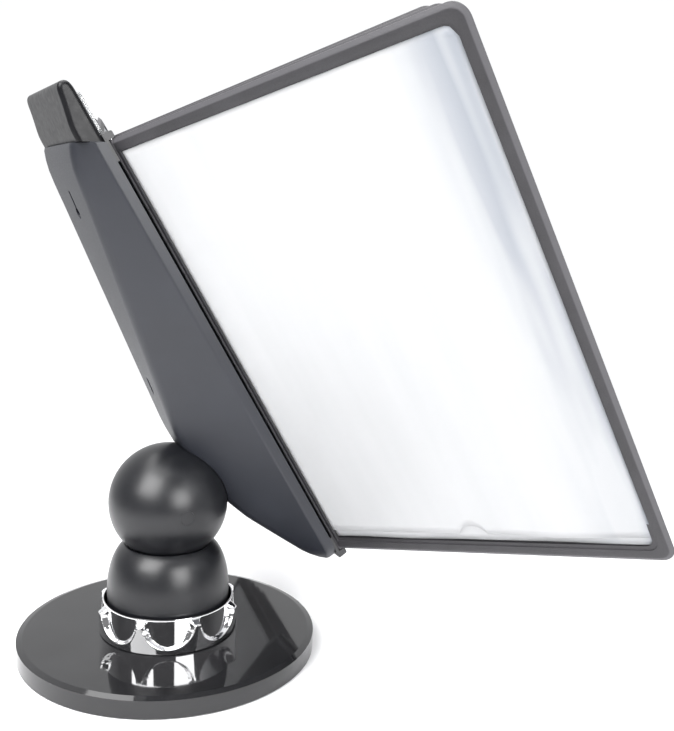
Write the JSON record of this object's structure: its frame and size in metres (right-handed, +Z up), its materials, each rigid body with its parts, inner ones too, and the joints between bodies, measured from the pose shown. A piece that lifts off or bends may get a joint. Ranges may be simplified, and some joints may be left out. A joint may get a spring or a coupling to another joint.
{
  "type": "desktop document display",
  "caption": "Desktop reference display: framed film pages hinged in a leaning holder, on a ball joint with a chrome lock ring and a weighted round foot.",
  "frame": {"origin": "centre of the round foot's underside, on the desk", "axes": "+Z up; the reader sits on the -Y side and the holder leans back towards +Y"},
  "size_m": [0.5322, 0.3064, 0.3945],
  "materials": {
    "gloss_black": "polished black",
    "zinc_steel": "zinc plated",
    "cover_plastic": "moulded, matte",
    "foot_rubber": "matte",
    "chrome_ring": "polished",
    "soft_black": "soft-touch charcoal",
    "bearing_plastic": "natural, low friction",
    "charcoal_shell": "fine grained charcoal",
    "comb_plastic": "moulded black",
    "gloss_cap": "semi-gloss black",
    "clear_window": "clear moulded plastic",
    "page_frame_plastic": "fine textured dark grey",
    "page_film": "frosted film"
  },
  "bodies": {
    "base": {"base_disc": "gloss_black", "ballast_plate": "zinc_steel", "bottom_cover": "cover_plastic", "foot_pad": "foot_rubber", "cover_screws": "zinc_steel", "pivot_hub": "zinc_steel", "hub_screws": "zinc_steel", "swivel_washer": "zinc_steel", "swivel_nut": "zinc_steel"},
    "lock_ring": {"lock_ring": "chrome_ring"},
    "neck": {"neck_dome": "soft_black", "neck_plate": "bearing_plastic", "neck_screws": "zinc_steel", "lower_tie_bolt": "zinc_steel", "lower_saddle": "bearing_plastic", "lower_springs": "zinc_steel", "lower_nut": "zinc_steel"},
    "ball": {"ball_left": "soft_black", "ball_right": "soft_black", "ball_screw": "zinc_steel", "ball_plug": "soft_black"},
    "holder": {"rear_shell": "charcoal_shell", "front_plate": "comb_plastic", "plate_screws": "zinc_steel", "upper_comb": "comb_plastic", "lower_comb": "comb_plastic", "top_cap": "gloss_cap", "label_window": "clear_window", "upper_tie_bolt": "zinc_steel", "upper_saddle": "bearing_plastic", "upper_springs": "zinc_steel", "upper_nut": "zinc_steel"},
    "page_1": {"page_1_frame": "page_frame_plastic", "page_1_films": "page_film", "page_1_pins": "zinc_steel"},
    "page_2": {"page_2_frame": "page_frame_plastic", "page_2_films": "page_film", "page_2_pins": "zinc_steel"},
    "page_3": {"page_3_frame": "page_frame_plastic", "page_3_films": "page_film", "page_3_pins": "zinc_steel"},
    "page_4": {"page_4_frame": "page_frame_plastic", "page_4_films": "page_film", "page_4_pins": "zinc_steel"},
    "page_5": {"page_5_frame": "page_frame_plastic", "page_5_films": "page_film", "page_5_pins": "zinc_steel"},
    "page_6": {"page_6_frame": "page_frame_plastic", "page_6_films": "page_film", "page_6_pins": "zinc_steel"},
    "page_7": {"page_7_frame": "page_frame_plastic", "page_7_films": "page_film", "page_7_pins": "zinc_steel"},
    "page_8": {"page_8_frame": "page_frame_plastic", "page_8_films": "page_film", "page_8_pins": "zinc_steel"}
  },
  "joints": [
    {"name": "ring_turn", "type": "hinge", "parent": "base", "child": "lock_ring", "pos_m": [0, 0, 0.02], "axis": [0, 0, 1], "range_deg": [0, 60]},
    {"name": "foot_swivel", "type": "hinge", "parent": "base", "child": "neck", "pos_m": [0, 0, 0.03], "axis": [0, 0, 1], "continuous": true},
    {"name": "ball_tilt", "type": "hinge", "parent": "neck", "child": "ball", "pos_m": [0, 0, 0.1035], "axis": [1, 0, 0], "range_deg": [-18, 18]},
    {"name": "holder_roll", "type": "hinge", "parent": "ball", "child": "holder", "pos_m": [0, 0, 0.1035], "axis": [0, -0.8616, 0.5075], "range_deg": [-15, 15]},
    {"name": "page_1_turn", "type": "hinge", "parent": "holder", "child": "page_1", "pos_m": [-0.0448, -0.03116, 0.2031], "axis": [0, 0.5075, 0.8616], "range_deg": [-9, 134]},
    {"name": "page_2_turn", "type": "hinge", "parent": "holder", "child": "page_2", "pos_m": [-0.032, -0.03116, 0.2031], "axis": [0, 0.5075, 0.8616], "range_deg": [-9, 134]},
    {"name": "page_3_turn", "type": "hinge", "parent": "holder", "child": "page_3", "pos_m": [-0.0192, -0.03116, 0.2031], "axis": [0, 0.5075, 0.8616], "range_deg": [-9, 134]},
    {"name": "page_4_turn", "type": "hinge", "parent": "holder", "child": "page_4", "pos_m": [-0.0064, -0.03116, 0.2031], "axis": [0, 0.5075, 0.8616], "range_deg": [-134, 0]},
    {"name": "page_5_turn", "type": "hinge", "parent": "holder", "child": "page_5", "pos_m": [0.0064, -0.03116, 0.2031], "axis": [0, 0.5075, 0.8616], "range_deg": [-134, 0]},
    {"name": "page_6_turn", "type": "hinge", "parent": "holder", "child": "page_6", "pos_m": [0.0192, -0.03116, 0.2031], "axis": [0, 0.5075, 0.8616], "range_deg": [-134, 0]},
    {"name": "page_7_turn", "type": "hinge", "parent": "holder", "child": "page_7", "pos_m": [0.032, -0.03116, 0.2031], "axis": [0, 0.5075, 0.8616], "range_deg": [-134, 0]},
    {"name": "page_8_turn", "type": "hinge", "parent": "holder", "child": "page_8", "pos_m": [0.0448, -0.03116, 0.2031], "axis": [0, 0.5075, 0.8616], "range_deg": [-134, 0]}
  ],
  "couplings": [
    {"joint": "page_2_turn", "follows": "page_1_turn", "ratio": 1},
    {"joint": "page_3_turn", "follows": "page_1_turn", "ratio": 1},
    {"joint": "page_4_turn", "follows": "page_8_turn", "ratio": 1},
    {"joint": "page_5_turn", "follows": "page_8_turn", "ratio": 1},
    {"joint": "page_6_turn", "follows": "page_8_turn", "ratio": 1},
    {"joint": "page_7_turn", "follows": "page_8_turn", "ratio": 1}
  ]
}
